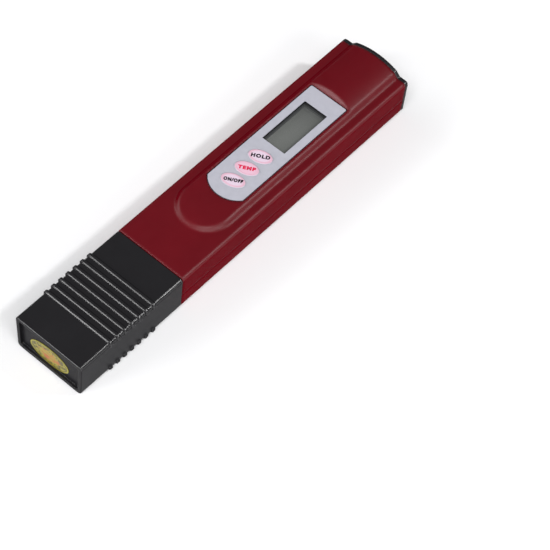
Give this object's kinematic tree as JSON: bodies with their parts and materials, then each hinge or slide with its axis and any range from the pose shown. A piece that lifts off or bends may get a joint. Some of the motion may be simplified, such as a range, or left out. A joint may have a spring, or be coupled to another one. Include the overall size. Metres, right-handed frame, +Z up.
{
  "type": "water quality test pen",
  "caption": "Slim handheld tester with a pull-off ribbed cap over its probe, a raised ridge with a panel of a small display and slanted oval keys, and a battery cap at the end.",
  "frame": {"origin": "middle of the pen's footprint, on the surface it lies on", "axes": "+Z up through the face panel, +Y along the pen to the battery end, +X to the right of the panel"},
  "size_m": [0.029, 0.155, 0.0193],
  "materials": {
    "housing_plastic": "satin moulded, wine red",
    "cap_plastic": "fine moulded, near black",
    "label_foil": "printed foil, yellow",
    "face_film": "printed film, pale grey blue",
    "clear_plastic": "polished, clear",
    "key_film": "printed film, pale pink",
    "switch_plastic": "moulded, black",
    "switch_plunger": "moulded, off white",
    "board_laminate": "lacquered laminate, green",
    "fastener_steel": "plated",
    "display_frame": "moulded, dark",
    "display_glass": "grey green display, blank",
    "contact_rubber": "striped elastomer",
    "dark_epoxy": "cast resin, black",
    "resistor_body": "ceramic with black glaze",
    "ceramic_tan": "ceramic, tan",
    "trimmer_plastic": "moulded, blue",
    "rotor_brass": "turned",
    "cell_steel": "nickel plated",
    "cradle_plastic": "moulded, dark grey",
    "spring_nickel": "nickel plated spring strip",
    "probe_plastic": "moulded, black",
    "electrode_steel": "polished rod"
  },
  "bodies": {
    "housing": {"front_shell": "housing_plastic", "back_shell": "housing_plastic", "face_overlay": "face_film", "window_lens": "clear_plastic", "hold_switch": "switch_plastic", "temp_switch": "switch_plastic", "power_switch": "switch_plastic", "circuit_board": "board_laminate", "board_screws": "fastener_steel", "lcd_frame": "display_frame", "lcd_cell": "display_glass", "contact_strips": "contact_rubber", "chip": "dark_epoxy", "resistors": "resistor_body", "capacitors": "ceramic_tan", "trimmer_body": "trimmer_plastic", "battery_left": "cell_steel", "battery_right": "cell_steel", "battery_cradle": "cradle_plastic", "positive_contact": "spring_nickel", "negative_contact": "spring_nickel", "bridge_contact": "spring_nickel", "probe_block": "probe_plastic", "electrode_left": "electrode_steel", "electrode_right": "electrode_steel", "thermistor": "dark_epoxy"},
    "cap": {"protective_cap": "cap_plastic", "cap_label": "label_foil"},
    "battery_cover": {"battery_cap": "cap_plastic"},
    "calibration_rotor": {"calibration_screw": "rotor_brass"},
    "hold_key": {"hold_button": "key_film", "hold_plunger": "switch_plunger"},
    "temp_key": {"temp_button": "key_film", "temp_plunger": "switch_plunger"},
    "power_key": {"power_button": "key_film", "power_plunger": "switch_plunger"}
  },
  "joints": [
    {"name": "cap_pull", "type": "slide", "parent": "housing", "child": "cap", "axis": [0, -1, 0], "range_m": [0, 0.045]},
    {"name": "battery_cover_slide", "type": "slide", "parent": "housing", "child": "battery_cover", "axis": [0, 1, 0], "range_m": [0, 0.012]},
    {"name": "calibration_turn", "type": "hinge", "parent": "housing", "child": "calibration_rotor", "pos_m": [0, -0.0115, 0.0066], "axis": [0, 0, 1], "range_deg": [-135, 135]},
    {"name": "hold_press", "type": "slide", "parent": "housing", "child": "hold_key", "axis": [0, 0, -1], "range_m": [0, 0.0003], "stiffness_N_per_m": 3000},
    {"name": "temp_press", "type": "slide", "parent": "housing", "child": "temp_key", "axis": [0, 0, -1], "range_m": [0, 0.0003], "stiffness_N_per_m": 3000},
    {"name": "power_press", "type": "slide", "parent": "housing", "child": "power_key", "axis": [0, 0, -1], "range_m": [0, 0.0003], "stiffness_N_per_m": 3000}
  ]
}
